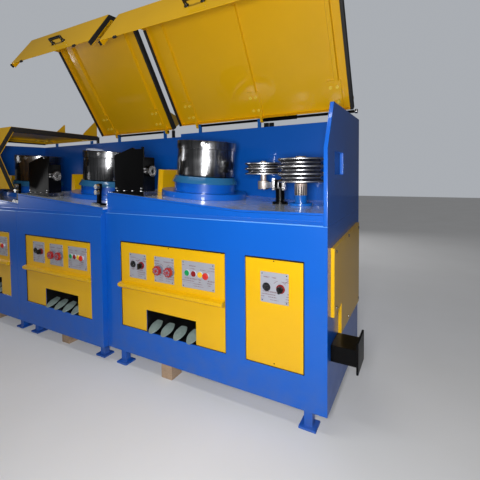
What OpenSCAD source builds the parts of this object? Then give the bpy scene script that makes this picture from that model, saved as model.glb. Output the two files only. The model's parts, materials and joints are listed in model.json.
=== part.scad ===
/* [Line] */
// Distance from one capstan axis to the next
bay_pitch = 1000; // [950:10:1100]
// Length of the end bay, which also carries the guide sheaves
end_bay_l = 1500; // [1450:10:1600]
// Height of the benches above the floor
under_h = 110; // [80:5:160]
// Height of a bench's front face, from its underside to the fold
face_h = 925; // [880:5:960]
// Depth of the bench, from its front face to the back wall
bench_d = 856; // [820:2:900]
// How far the standard bays stand in front of the end bay
front_step = 40; // [0:5:60]
// How much lower the standard bays are built than the end bay
top_drop = 25; // [0:5:40]

/* [Worktop] */
// Tilt of the capstan part of the worktop, in degrees
tilt = 4.6; // [3:0.1:6]
// Length of the tilted part
tilted_l = 1010; // [980:5:1040]
// Height of the level part above the fold
level_h = 60; // [50:2:80]
// Thickness of the worktop plate
worktop_t = 12; // [8:1:20]
// Set-back and height of the sloped lip at the fold
lip = 20; // [10:1:30]

/* [Back and sides] */
// Height of the back wall's top edge above the fold
wall_h = 618; // [590:2:640]
// Thickness of the back wall
wall_t = 25; // [15:1:30]
// Thickness of the end walls
side_t = 20; // [12:1:25]
// Height of the knee of an end wall above the fold
knee_h = 372; // [350:2:400]
// How far back the end wall's peak stands
peak_y = 130; // [100:5:160]

/* [Front panels] */
// Width of the end bay's control panel
end_panel_w = 805; // [780:5:840]
// Distance from the end bay's left end to its control panel
end_panel_x = 135; // [120:5:160]
// Width of a standard bay's control panel
standard_panel_w = 776; // [740:2:800]
// Height of the end bay's panels
panel_h = 568; // [540:2:600]
// Height of the sill under the panels
sill_h = 177; // [150:1:200]
// Width of the access panel
access_w = 324; // [300:2:340]
// Width of the foot opening
foot_w = 388; // [340:2:420]
// Height of the foot opening
foot_h = 139; // [120:1:160]
// Distance from the bay's left end to the foot opening
foot_x = 346; // [330:1:350]

/* [Capstans] */
// Distance from the bay's left end to the capstan axis
drum_x = 505; // [490:5:520]
// Distance from the front face to the capstan axis
drum_y = 460; // [400:5:480]
// Radius of the drum's working face
drum_r = 204; // [180:2:215]
// Radius of the drum's rim
rim_r = 211; // [190:1:225]
// Height of the working face
drum_h = 181; // [150:1:200]
// Height of the rim
rim_h = 55; // [40:1:70]
// Radius of the base flange
flange_r = 302; // [280:2:310]

/* [Guide sheaves] */
// Radius of the three-groove guide sheave
guide_r = 137; // [120:1:140]
// Groove pitch of the guide sheave
guide_pitch = 45; // [40:1:48]
// Radius of the two-groove tension sheave
tension_r = 122; // [100:1:124]
// Groove pitch of the tension sheave
tension_pitch = 34; // [30:1:38]
// Swing of the tension arm from its place, in degrees
arm_swing = 0; // [-35:1:8]

/* [Hoods] */
// Opening angle of the end bay's hood
end_open = 57; // [0:1:57]
// Opening angle of the middle bay's hood
middle_open = 57; // [0:1:57]
// Opening angle of the far bay's hood
far_open = 0; // [0:1:57]
// Thickness of the hood sheet
sheet_t = 4; // [3:0.5:6]

/* [Hidden] */
$fn = 96;

// Bays from right to left: end bay, middle bay, far bay
END = 0;
MIDDLE = 1;
FAR = 2;
STANDARD = [MIDDLE, FAR];
BAYS = [END, MIDDLE, FAR];
bay_x = [0, -bay_pitch, -2 * bay_pitch];
bay_l = [end_bay_l, bay_pitch, bay_pitch];
bay_y = [0, -front_step, -front_step];
bay_z = [0, -top_drop, -top_drop];
bay_gap = 0.3;
fold_z = under_h + face_h;
hair = 0.1;
clearance = 5;

// The machine's own frame starts at the sole of the end bay's front left foot
leg_x = 105;
leg_y = 60;
leg_w = 44;
sole_w = 90;
sole_t = 12;
module line_frame() { translate([-leg_x, -leg_y, 0]) children(); }

// Worktop height over the fold at a distance along the bay
function top_over_fold(x) = level_h + max(0, tilted_l - x) * tan(tilt);
function top_z(bay, x) = fold_z + bay_z[bay] + top_over_fold(x);

// Left and right ends of a bay's worktop, inside the end walls
function top_left(bay) = bay == FAR ? side_t : bay_gap / 2;
function top_right(bay) = bay_l[bay] - (bay == END ? side_t : bay_gap / 2);

// Moves to a point of a bay, in the bay's own directions
module in_bay(bay, x = 0, y = 0, z = 0) {
    translate([bay_x[bay] + x, y, z]) children();
}

// Stands a thing square on the tilted worktop, on a thin joint of sealant
seat = 0.3;
module on_worktop(bay, x, y) {
    in_bay(bay, x, y, top_z(bay, x)) rotate([0, tilt, 0]) translate([0, 0, seat]) children();
}

// Extrudes a shape drawn in X and Z along Y, from y0 to y1
module along_y(y0, y1) {
    translate([0, y1, 0]) rotate([90, 0, 0]) linear_extrude(y1 - y0) children();
}

// Extrudes a shape drawn in Y and Z along X, from x0 to x1
module along_x(x0, x1) {
    translate([x0, 0, 0]) rotate([90, 0, 90]) linear_extrude(x1 - x0) children();
}

// A polyline moved to its right by a distance, with mitred corners
function unit(v) = v / norm(v);
function right_of(a, b) = [unit(b - a)[1], -unit(b - a)[0]];
function mitred(p, i, d) = i == 0 ? p[0] + d * right_of(p[0], p[1])
    : i == len(p) - 1 ? p[i] + d * right_of(p[i - 1], p[i])
    : let (before = right_of(p[i - 1], p[i]), after = right_of(p[i], p[i + 1]))
      p[i] + d / (unit(before + after) * after) * unit(before + after);

// Outline of a strip that follows a polyline, between two distances from it
function strip(p, from, to) = concat(
    [for (i = [0 : len(p) - 1]) mitred(p, i, from)],
    [for (i = [len(p) - 1 : -1 : 0]) mitred(p, i, to)]);

// Bench housing with its fold, its sloped lip and the raised part under the worktop
recess_d = 15;
foot_recess_d = 320;
module bench(bay) {
    front = bay_y[bay];
    fold = fold_z + bay_z[bay];
    left = bay_gap / 2;
    right = bay_l[bay] - (bay == END ? 0 : bay_gap / 2);
    under_top = -worktop_t / cos(tilt);
    in_bay(bay) difference() {
        intersection() {
            along_x(left, right) polygon([
                [front, under_h], [front, fold], [front + lip, fold + lip],
                [front + lip, 2 * fold_z], [bench_d, 2 * fold_z], [bench_d, under_h]
            ]);
            along_y(front, bench_d) polygon([
                [left, under_h], [left, fold], [top_left(bay), fold],
                [top_left(bay), top_z(bay, top_left(bay)) + under_top],
                [min(tilted_l, top_right(bay)), top_z(bay, tilted_l) + under_top],
                [top_right(bay), top_z(bay, tilted_l) + under_top],
                [top_right(bay), fold], [right, fold], [right, under_h]
            ]);
        }
        translate([panel_x(bay), front - 1, under_h + sill_h])
            cube([panel_w(bay), recess_d + 1, panel_top(bay)]);
        translate([foot_x, front - 1, under_h + sill_h]) cube([foot_w, foot_recess_d, foot_h]);
        if (bay == END)
            translate([access_x, front - 1, under_h + sill_h])
                cube([access_w, recess_d + 1, panel_h]);
    }
}
access_share = 0.521;
panel_end = end_panel_x + end_panel_w;
access_x = panel_end + access_share * (end_bay_l - panel_end - access_w);
function panel_x(bay) = bay == END ? end_panel_x : (bay_pitch - standard_panel_w) / 2;
function panel_w(bay) = bay == END ? end_panel_w : standard_panel_w;
function panel_top(bay) = panel_h + bay_z[bay];

module end_bench() { color("royalblue") line_frame() bench(END); }

module standard_benches() {
    color("royalblue") line_frame() for (bay = STANDARD) bench(bay);
}

// Steel plates of the worktop: tilted under the capstan, level under the sheaves
module worktops() {
    drop = worktop_t / cos(tilt);
    color("slategray") line_frame() for (bay = BAYS) in_bay(bay) {
        x0 = top_left(bay);
        x1 = top_right(bay);
        x_break = min(tilted_l, x1);
        along_y(bay_y[bay] + lip, bench_d) polygon([
            [x0, top_z(bay, x0)], [x_break, top_z(bay, x_break)], [x1, top_z(bay, x1)],
            [x1, top_z(bay, tilted_l) - drop], [x_break, top_z(bay, tilted_l) - drop],
            [x0, top_z(bay, x0) - drop]
        ]);
    }
}

// Back walls behind the worktops
wall_foot = 120;
module back_walls() {
    color("royalblue") line_frame() for (bay = BAYS) {
        x0 = bay == FAR ? side_t : bay_gap / 2;
        x1 = bay_l[bay] - (bay == END ? side_t : bay_gap / 2);
        in_bay(bay, x0, bench_d, fold_z + bay_z[bay] - wall_foot)
            cube([x1 - x0, wall_t, wall_foot + wall_h]);
    }
}

// End walls with the window that the wire goes through
window_y = 144;
window_w = 213;
window_z = 244;
window_h = 119;
module side_wall_shape(bay) {
    fold = fold_z + bay_z[bay];
    front = bay_y[bay];
    difference() {
        polygon([
            [front, fold], [front, fold + knee_h], [peak_y, fold + wall_h - 12],
            [bench_d, fold + wall_h], [bench_d + wall_t, fold + wall_h],
            [bench_d + wall_t, fold - wall_foot], [bench_d, fold - wall_foot], [bench_d, fold]
        ]);
        translate([window_y, fold + window_z]) square([window_w, window_h]);
    }
}

module right_side_wall() {
    color("royalblue") line_frame() in_bay(END)
        along_x(end_bay_l - side_t, end_bay_l) side_wall_shape(END);
}

module left_side_wall() {
    color("royalblue") line_frame() in_bay(FAR) along_x(bay_gap / 2, side_t) side_wall_shape(FAR);
}

// Yellow front panels, sunk into the housing, with a folded ledge across them
panel_t = 6;
ledge_h = 34;
ledge_gap = 38;
plate_h = 160;
plate_margin = 49;
plate_z = panel_h - top_drop - plate_h - plate_margin;
ledge_z = plate_z - ledge_gap - ledge_h;
ledge_d = 25;
ledge_over = 5;
module front_sheet(front) {
    translate([0, front + recess_d, 0]) rotate([90, 0, 0]) linear_extrude(panel_t) children();
}

module control_panels() {
    color("gold") line_frame() for (bay = BAYS) {
        in_bay(bay, panel_x(bay), 0, under_h + sill_h) {
            front_sheet(bay_y[bay]) difference() {
                square([panel_w(bay), panel_top(bay)]);
                translate([foot_x - panel_x(bay), -1]) square([foot_w, foot_h + 1]);
            }
            translate([0, bay_y[bay], ledge_z]) {
                along_x(-ledge_over, panel_w(bay)) polygon([
                    [0, 0], [-ledge_d * 0.6, 0], [-ledge_d, ledge_h * 0.3],
                    [-ledge_d, ledge_h * 0.8], [0, ledge_h]
                ]);
                cube([panel_w(bay), recess_d - panel_t, ledge_h]);
            }
        }
    }
}

module access_panel() {
    color("gold") line_frame() in_bay(END, access_x, 0, under_h + sill_h)
        front_sheet(0) square([access_w, panel_h]);
}

// Yellow cover on the right end
guard_t = 18;
guard_front = 64;
guard_step = 233;
guard_rear = 67;
guard_lows = [470, 490, 325, 320];
guard_tops = [812, 850];
module side_guard() {
    back = bench_d - guard_rear;
    color("gold") line_frame() in_bay(END)
        along_x(end_bay_l, end_bay_l + guard_t) translate([0, under_h]) polygon([
            [guard_front, guard_lows[0]], [guard_front, guard_tops[0]], [back, guard_tops[1]],
            [back, guard_lows[3]], [guard_step, guard_lows[2]], [guard_step, guard_lows[1]]
        ]);
}

// Small black box low on the right end, with its end plate
box_w = 122;
box_d = 155;
box_h = 82;
box_y = 60;
box_z = 252;
box_rim = 10;
box_plate_t = 10;
box_plate_z = 220;
box_plate_h = 152;
module junction_box() {
    color("black") line_frame() in_bay(END, end_bay_l, box_y, under_h) {
        translate([0, 0, box_z]) cube([box_w, box_d, box_h]);
        translate([box_w, -box_rim, box_plate_z])
            cube([box_plate_t, box_d + 2 * box_rim, box_plate_h]);
    }
}

// Levelling feet and the timber packing beside them
module feet() {
    color("royalblue") line_frame() for (bay = BAYS)
        in_bay(bay) for (x = [leg_x, bay_l[bay] - leg_x], y = [leg_y, bench_d - leg_y])
            translate([x, y, 0]) {
                translate([-sole_w / 2, -sole_w / 2, 0]) cube([sole_w, sole_w, sole_t]);
                translate([-leg_w / 2, -leg_w / 2, 0]) cube([leg_w, leg_w, under_h]);
            }
}

packing_w = 85;
packing_l = 100;
packing_in = 30;
packing_x = 445;
module packing_blocks() {
    color("burlywood") line_frame() for (bay = BAYS)
        in_bay(bay) for (y = [packing_in, bench_d - packing_in - packing_l])
            translate([packing_x, y, 0]) cube([packing_w, packing_l, under_h]);
}

// Grey switch plates on the yellow panels
plate_t = 3;
socket_plate_x = 212;
socket_plate_w = 161;
valve_plate_x = 425;
valve_plate_w = 153;
button_plate = [[640, 228], [641, 200], [641, 200]];
access_plate_w = 154;
access_plate_in = 88;
module switch_plate(bay, x, w) {
    in_bay(bay, x, bay_y[bay] + recess_d - panel_t - plate_t, under_h + sill_h + plate_z)
        cube([w, plate_t, plate_h]);
}

module control_plates() {
    color("lightgray") line_frame() for (bay = BAYS) {
        switch_plate(bay, socket_plate_x, socket_plate_w);
        switch_plate(bay, valve_plate_x, valve_plate_w);
        switch_plate(bay, button_plate[bay][0], button_plate[bay][1]);
        if (bay == END) switch_plate(bay, access_x + access_plate_in, access_plate_w);
    }
}

// Turns a control so that it stands out of its plate, at a height over the plate's lower edge
module on_plate(bay, x, up) {
    in_bay(bay, x, bay_y[bay] + recess_d - panel_t - plate_t, under_h + sill_h + plate_z + up)
        rotate([90, 0, 0]) children();
}

socket_flange_r = 30;
socket_flange_h = 6;
socket_r = 26;
socket_h = 24;
socket_wall = 5;
socket_floor = 8;
socket_pin_r = 6;
module plug_socket() {
    difference() {
        union() {
            cylinder(h = socket_flange_h, r = socket_flange_r);
            cylinder(h = socket_h, r = socket_r);
        }
        translate([0, 0, socket_floor]) cylinder(h = socket_h, r = socket_r - socket_wall);
    }
    cylinder(h = socket_h - socket_flange_h, r = socket_pin_r);
}

collar_h = 9;
collar_r = 19;
selector_r = 14;
selector_h = 22;
grip_w = 8;
grip_h = 36;
module selector() {
    cylinder(h = collar_h, r = collar_r);
    cylinder(h = selector_h, r = selector_r);
    translate([-grip_w / 2, -selector_r, 0]) cube([grip_w, 2 * selector_r, grip_h]);
}

// Hand knob with eight finger hollows
knob_r = 24;
knob_t = 24;
knob_up = 18;
knob_stem_r = 9;
hollow_r = 7;
hollow_out = 4;
module valve_knob() {
    cylinder(h = knob_up + 2, r = knob_stem_r);
    translate([0, 0, knob_up]) linear_extrude(knob_t) difference() {
        circle(r = knob_r);
        for (a = [0 : 45 : 315]) rotate(a) translate([knob_r + hollow_out, 0]) circle(r = hollow_r);
    }
}

bezel_r = 16;
button_r = 11.5;
button_h = 15;
module push_button() {
    cylinder(h = collar_h, r = bezel_r);
    cylinder(h = button_h, r = button_r);
}

mushroom_r = 24;
mushroom_t = 18;
mushroom_up = 24;
mushroom_bezel_r = 17;
mushroom_stem_r = 10;
module mushroom_button() {
    cylinder(h = collar_h, r = mushroom_bezel_r);
    cylinder(h = mushroom_up + mushroom_t / 3, r = mushroom_stem_r);
    translate([0, 0, mushroom_up]) rotate_extrude() polygon([
        [0, 0], [mushroom_r - 4, 0], [mushroom_r, 4], [mushroom_r, mushroom_t - 8],
        [mushroom_r - 5, mushroom_t - 3], [mushroom_r - 15, mushroom_t], [0, mushroom_t]
    ]);
}

// Places of the controls: along the bay, and up from the lower edge of their plates
socket_x = 245;
selector_x = 312;
valve_x = [450, 537];
button_x = [[680, 727, 772], [676, 718, 758], [676, 718, 758]];
mushroom_x = [818, 802, 802];
access_socket_in = 122;
access_selector_in = 195;
control_up = 89;
valve_up = 79;
access_up = 81;
module operator_controls() {
    color("dimgray") line_frame() {
        for (bay = BAYS) {
            on_plate(bay, socket_x, control_up) plug_socket();
            on_plate(bay, selector_x, control_up) selector();
            for (x = valve_x) on_plate(bay, x, valve_up) valve_knob();
            for (x = button_x[bay]) on_plate(bay, x, control_up) push_button();
            on_plate(bay, mushroom_x[bay], control_up) mushroom_button();
        }
        on_plate(END, access_x + access_socket_in, access_up) plug_socket();
        on_plate(END, access_x + access_selector_in, access_up) selector();
    }
}

// Capstan: a flanged base fixed to the worktop and a drum turning on its spigot
flange_h = 38;
base_r = 216;
base_h = 58;
ring_r = 233;
ring_h = 46;
ring_lip = 8;
cone_r = 213;
spigot_r = 45;
spigot_h = 120;
thrust_r = 70;
thrust_h = 6;
base_top = flange_h + base_h + ring_h;
running = 0.06;
module drum_base(bay) {
    on_worktop(bay, drum_x, drum_y) {
        cylinder(h = flange_h, r = flange_r);
        cylinder(h = flange_h + base_h, r = base_r);
        translate([0, 0, flange_h + base_h]) {
            cylinder(h = ring_lip, r = ring_r);
            translate([0, 0, ring_lip]) cylinder(h = ring_h - ring_lip, r1 = ring_r, r2 = cone_r);
        }
        translate([0, 0, base_top]) cylinder(h = thrust_h, r = thrust_r);
        translate([0, 0, base_top]) cylinder(h = thrust_h + spigot_h, r = spigot_r);
    }
}

module drum_bases() { color("royalblue") line_frame() for (bay = BAYS) drum_base(bay); }

top_recess_r = 180;
top_recess_h = 40;
wire_hole_r = 9;
wire_hole_turn = -64;
module drum(bay) {
    on_worktop(bay, drum_x, drum_y)
        translate([0, 0, base_top + thrust_h + hair]) difference() {
            union() {
                cylinder(h = drum_h + rim_h, r = drum_r);
                translate([0, 0, drum_h]) cylinder(h = rim_h, r = rim_r);
            }
            translate([0, 0, -1]) cylinder(h = spigot_h + clearance + 1, r = spigot_r + running);
            translate([0, 0, drum_h + rim_h - top_recess_h])
                cylinder(h = top_recess_h + 1, r = top_recess_r);
            rotate(wire_hole_turn) translate([top_recess_r - 10, 0, drum_h + rim_h * 0.6])
                rotate([0, 90, 0]) cylinder(h = rim_r, r = wire_hole_r);
        }
}

module end_drum() { color("silver") line_frame() drum(END); }
module middle_drum() { color("silver") line_frame() drum(MIDDLE); }
module far_drum() { color("silver") line_frame() drum(FAR); }

// Die box at the inlet of each bay: a body behind a taller front plate with a sloped shoulder
// and two horns, on a wedge that brings it level, with the die's nut on its outlet side
die_x = 45;
die_y = 50;
die_w = 262;
die_d = 110;
die_h = 224;
die_plate_t = 16;
die_plate_h = 244;
die_peak_h = 290;
die_shoulder_w = 170;
horn_w = 14;
horn_h = 12;
wedge_t = 8;
wedge_over = 12;
nut_r = 37;
nut_t = 30;
nut_z = 132;
nut_bore_r = 11;
module die_boxes() {
    wedge_w = die_w + 2 * wedge_over;
    color("black") line_frame() for (bay = BAYS) {
        on_worktop(bay, die_x - wedge_over, die_y - wedge_over)
            along_y(0, die_d + 2 * wedge_over) polygon([
                [0, 0], [-wedge_t * sin(tilt), wedge_t * cos(tilt)],
                [wedge_w * cos(tilt) - wedge_t * sin(tilt), wedge_t * cos(tilt) + wedge_w * sin(tilt)],
                [wedge_w, 0]
            ]);
        in_bay(bay, die_x, die_y, top_z(bay, die_x - wedge_over) + wedge_t) {
            along_y(0, die_plate_t) polygon([
                [0, 0], [0, die_plate_h], [die_shoulder_w, die_peak_h],
                [die_shoulder_w + horn_w, die_peak_h - horn_h],
                [die_w - horn_w, die_peak_h - horn_h], [die_w - horn_w, die_peak_h],
                [die_w, die_peak_h], [die_w, 0]
            ]);
            cube([die_w, die_d, die_h]);
            translate([die_w, die_d / 2, nut_z]) rotate([0, 90, 0]) difference() {
                cylinder(h = nut_t, r = nut_r);
                translate([0, 0, nut_t - 20]) cylinder(h = 21, r = nut_bore_r);
            }
        }
    }
}

// Narrow lubricant box between the die box and the capstan's flange
inlet_gap = 9;
inlet_w = 45;
inlet_d = 190;
inlet_h = 168;
module lubricant_boxes() {
    color("gold") line_frame() for (bay = BAYS)
        on_worktop(bay, drum_x - flange_r - inlet_gap - inlet_w, drum_y - inlet_d / 2)
            cube([inlet_w, inlet_d, inlet_h]);
}

// Wire straightening rollers at the right end of the middle bay and the far bay
roller_x = 870;
roller_y = 100;
roller_base = [90, 60, 12];
roller_post_w = 24;
roller_post_h = 150;
roller_r = 18;
roller_w = 22;
roller_pitch = 40;
module wire_rollers() {
    top = roller_post_h - roller_r - 2;
    color("dimgray") line_frame() for (bay = STANDARD)
        on_worktop(bay, roller_x, bay_y[bay] + roller_y) {
            translate([-roller_base[0] / 2, -roller_base[1] / 2, 0]) cube(roller_base);
            translate([-roller_post_w / 2, -roller_post_w / 2, 0])
                cube([roller_post_w, roller_post_w, roller_post_h]);
            for (z = [top - roller_pitch, top]) translate([0, -roller_post_w / 2, z])
                rotate([90, 0, 0]) cylinder(h = roller_w, r = roller_r);
        }
}

// Post and three-groove sheave in the level part of the end bay
guide_wall_gap = 100;
guide_x = end_bay_l - side_t - guide_wall_gap - guide_r;
guide_y = 400;
guide_low = 140;
post_r = 37;
post_flange_r = 70;
post_flange_h = 16;
axle_r = 20;
axle_collar_r = 30;
axle_collar_h = 6;
guide_grooves = 3;
tension_grooves = 2;
rim_w = 9;
function sheave_h(grooves, pitch) = grooves * pitch + rim_w;

// Half section of a sheave with V grooves
groove_depth = 22;
groove_floor = 6;
module sheave_body(r, grooves, pitch, bore_r) {
    mouth = pitch - rim_w;
    rotate_extrude() difference() {
        translate([bore_r, 0]) square([r - bore_r, sheave_h(grooves, pitch)]);
        for (i = [0 : grooves - 1]) translate([r, rim_w + i * pitch]) polygon([
            [1, 0], [0, 0], [-groove_depth, (mouth - groove_floor) / 2],
            [-groove_depth, (mouth + groove_floor) / 2], [0, mouth], [1, mouth]
        ]);
    }
}

level_z = fold_z + level_h;
guide_h = sheave_h(guide_grooves, guide_pitch);
tension_h = sheave_h(tension_grooves, tension_pitch);
cap_gap = 1;
cap_h = 12;
module guide_post() {
    color("steelblue") line_frame() translate([guide_x, guide_y, level_z]) {
        cylinder(h = post_flange_h, r = post_flange_r);
        cylinder(h = guide_low - axle_collar_h, r = post_r);
        cylinder(h = guide_low, r = axle_collar_r);
        cylinder(h = guide_low + guide_h + cap_gap + cap_h, r = axle_r);
        translate([0, 0, guide_low + guide_h + cap_gap]) cylinder(h = cap_h, r = axle_collar_r);
    }
}

module guide_sheave() {
    color("silver") line_frame() translate([guide_x, guide_y, level_z + guide_low + hair])
        sheave_body(guide_r, guide_grooves, guide_pitch, axle_r + running);
}

// Tension sheave on an arm that swings about its own post
post_in = 73;
hub_r = 34;
hub_gap = 4;
pivot_x = tilted_l + post_in;
post_reach = guide_r + hub_r + hub_gap;
post_dx = guide_x - pivot_x;
pivot_y = guide_y + sqrt(max(0, post_reach * post_reach - post_dx * post_dx));
arm_l = 140;
arm_rest = 163;
arm_low = 100;
arm_h = 40;
arm_w = 32;
arm_end_r = 36;
arm_end_over = 8;
pivot_r = 18;
pivot_collar_r = 28;
tension_low = 190;
tension_axle_r = 13;
tension_collar_r = 19;
tension_flange_r = 50;
tension_flange_h = 14;
tension_post_r = 24;
module tension_post() {
    color("black") line_frame() translate([pivot_x, pivot_y, level_z]) {
        cylinder(h = tension_flange_h, r = tension_flange_r);
        cylinder(h = arm_low - axle_collar_h, r = tension_post_r);
        cylinder(h = arm_low, r = pivot_collar_r);
        cylinder(h = arm_low + arm_h + cap_gap + cap_h, r = pivot_r);
        translate([0, 0, arm_low + arm_h + cap_gap]) cylinder(h = cap_h, r = pivot_collar_r);
    }
}

module at_arm() {
    translate([pivot_x, pivot_y, level_z]) rotate([0, 0, arm_rest + arm_swing]) children();
}

module tension_arm() {
    reach = tension_low - arm_low;
    color("silver") line_frame() at_arm() difference() {
        union() {
            translate([0, 0, arm_low + hair]) cylinder(h = arm_h - hair, r = hub_r);
            translate([0, -arm_w / 2, arm_low + hair]) cube([arm_l, arm_w, arm_h - hair]);
            translate([arm_l, 0, arm_low - arm_end_over])
                cylinder(h = arm_h + 2 * arm_end_over, r = arm_end_r);
            translate([arm_l, 0, arm_low]) {
                cylinder(h = reach - axle_collar_h, r = tension_axle_r + 2);
                cylinder(h = reach, r = tension_collar_r);
                cylinder(h = reach + tension_h + cap_gap + cap_h, r = tension_axle_r);
                translate([0, 0, reach + tension_h + cap_gap])
                    cylinder(h = cap_h, r = tension_collar_r);
            }
        }
        cylinder(h = level_z, r = pivot_r + running);
    }
}

module tension_sheave() {
    color("silver") line_frame() at_arm() translate([arm_l, 0, tension_low + hair])
        sheave_body(tension_r, tension_grooves, tension_pitch, tension_axle_r + running);
}

// Hood hinge line along the top of the back wall
hinge_y = bench_d + 14;
hinge_up = 57;
shaft_r = 10;
sleeve_r = 15;
post_w = 24;
post_d = 20;
post_head_r = 14;
lug_w = 20;
lug_r = 20;
lug_play = 2;
end_posts = [190, 748];
end_post_in = 160;
first_post = 212;
last_post_in = 200;
standard_posts = [first_post, bay_pitch - last_post_in];
post_x = [concat(end_posts, end_bay_l - end_post_in), standard_posts, standard_posts];
function hinge_z(bay) = fold_z + bay_z[bay] + wall_h + hinge_up;

// The first lug of a hood turns at its post's left side, the others at the right
function lug_x(bay, i) = post_x[bay][i] + (i == 0 ? -lug_play - lug_w : post_w + lug_play);
function shaft_left(bay) = lug_x(bay, 0) - clearance;
function shaft_right(bay) = lug_x(bay, len(post_x[bay]) - 1) + lug_w + clearance;

// Blue posts on the back wall that hold the hinge shaft
module hinge_posts() {
    color("steelblue") line_frame() for (bay = BAYS, x = post_x[bay])
        in_bay(bay, 0, hinge_y, hinge_z(bay)) along_x(x, x + post_w) difference() {
            union() {
                circle(r = post_head_r);
                translate([-post_d / 2, -hinge_up]) square([post_d, hinge_up]);
            }
            circle(r = shaft_r);
        }
}

// Black shafts through the posts, the end bay's with a sleeve and a long end
sleeve_x = [800, 1063];
end_shaft_in = 24;
end_shaft_x = end_bay_l - end_shaft_in;
end_knob_w = 16;
module hinge_shafts() {
    color("black") line_frame() for (bay = BAYS) in_bay(bay, 0, hinge_y, hinge_z(bay))
        rotate([0, 90, 0]) {
            right = bay == END ? end_shaft_x : shaft_right(bay);
            translate([0, 0, shaft_left(bay)]) cylinder(h = right - shaft_left(bay), r = shaft_r);
            if (bay == END) {
                translate([0, 0, sleeve_x[0]])
                    cylinder(h = sleeve_x[1] - sleeve_x[0], r = sleeve_r);
                translate([0, 0, end_shaft_x]) cylinder(h = end_knob_w, r = sleeve_r);
            }
        }
}

// Hood profile when shut, measured from the hinge axis: forwards and up
hood_rear = 26;
hood_up = 15;
hood_top_back = 20;
hood_knee_out = 115;
hood_low_out = 10;
hood_knee_u = -222;
hood_low_u = -497;
flange_d = 40;
hood_ends = [[17, 37], [24, 63], [40, 63]];
function hood_left(bay) = hood_ends[bay][0];
function hood_right(bay) = bay_l[bay] - hood_ends[bay][1];
function front_f(bay) = hinge_y - bay_y[bay];
function top_f(bay) = front_f(bay) - hood_top_back;
function knee(bay) = [front_f(bay) + hood_knee_out, hood_knee_u];
function low(bay) = [front_f(bay) + hood_low_out, hood_low_u];
function hood_line(bay) = [[hood_rear, hood_up], [top_f(bay), hood_up], knee(bay), low(bay)];

// Turns a hood about its hinge axis; the shape is drawn with Y forwards and Z up
module at_hinge(bay, angle) {
    in_bay(bay, 0, hinge_y, hinge_z(bay)) rotate([-angle, 0, 0]) mirror([0, 1, 0]) children();
}

// Places a thing on the outer face of the hood's flap, with Z up along the flap
module on_flap(bay, angle, x, up) {
    lean = atan2(hood_knee_out - hood_low_out, hood_knee_u - hood_low_u);
    at_hinge(bay, angle) translate([x, low(bay)[0], low(bay)[1]]) rotate([-lean, 0, 0])
        translate([0, 0, up]) children();
}

// Hinge plate under the sheet, the hat rib that starts at it, and the lug on the shaft
end_plates = [142, 755];
end_plate_in = 144;
first_plate = 143;
last_plate_in = 226;
standard_plates = [first_plate, bay_pitch - last_plate_in];
plate_x = [concat(end_plates, end_bay_l - end_plate_in), standard_plates, standard_plates];
hinge_plate_w = 94;
hinge_plate_l = 185;
hinge_plate_t = 8;
hinge_plate_f = 45;
rib_w = 34;
rib_d = 20;
rib_side = 20;
module hinge_plate(bay, x) {
    under = hood_up - sheet_t;
    translate([x - hinge_plate_w / 2, hinge_plate_f, under - hinge_plate_t])
        cube([hinge_plate_w, hinge_plate_l, hinge_plate_t + hair]);
    translate([x + rib_side, 0, under])
        along_y(hinge_plate_f + hinge_plate_l - clearance, top_f(bay) - rib_d) polygon([
            [-rib_w / 2, hair], [-rib_w / 2, 0], [clearance - rib_w / 2, -rib_d],
            [rib_w / 2 - clearance, -rib_d], [rib_w / 2, 0], [rib_w / 2, hair]
        ]);
}

module hood_lug(x) {
    along_x(x, x + lug_w) {
        circle(r = lug_r);
        polygon([
            [0, -lug_r * 0.8], [hood_rear + sheet_t, -lug_r * 0.8],
            [hinge_plate_f + 40, hood_up - sheet_t], [hinge_plate_f + 40, hood_up], [0, hood_up]
        ]);
    }
}

// Upright gussets on the hood's roof
end_gusset = 650;
end_gusset_in = 60;
first_gusset = 408;
last_gusset_in = 77;
standard_gussets = [first_gusset, bay_pitch - last_gusset_in];
gusset_x = [[end_gusset, end_bay_l - end_gusset_in], standard_gussets, standard_gussets];
gusset_l = 165;
gusset_h = 157;
gusset_t = 6;
module gusset(x) {
    along_x(x, x + gusset_t) translate([hood_rear, hood_up]) polygon([
        [0, -hair], [0, gusset_h], [12, gusset_h], [gusset_l, 12], [gusset_l, -hair]
    ]);
}

// Folded sheet with turned-in side flanges and a turned-in rear edge
module hood(bay, angle) {
    x0 = hood_left(bay);
    x1 = hood_right(bay);
    at_hinge(bay, angle) difference() {
        union() {
            along_x(x0, x1) polygon(strip(hood_line(bay), 0, sheet_t));
            for (x = [x0, x1 - sheet_t])
                along_x(x, x + sheet_t) polygon(strip(hood_line(bay), 0, flange_d));
            translate([x0, hood_rear, hood_up - flange_d]) cube([x1 - x0, sheet_t, flange_d]);
            for (x = plate_x[bay]) hinge_plate(bay, x);
            for (i = [0 : len(post_x[bay]) - 1]) hood_lug(lug_x(bay, i));
            for (x = gusset_x[bay]) gusset(x);
        }
        for (i = [0 : len(post_x[bay]) - 1])
            translate([lug_x(bay, i) - 1, 0, 0]) rotate([0, 90, 0])
                cylinder(h = lug_w + 2, r = shaft_r + running);
    }
}

module end_hood() { color("gold") line_frame() hood(END, end_open); }
module middle_hood() { color("gold") line_frame() hood(MIDDLE, middle_open); }
module far_hood() { color("gold") line_frame() hood(FAR, far_open); }

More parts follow.
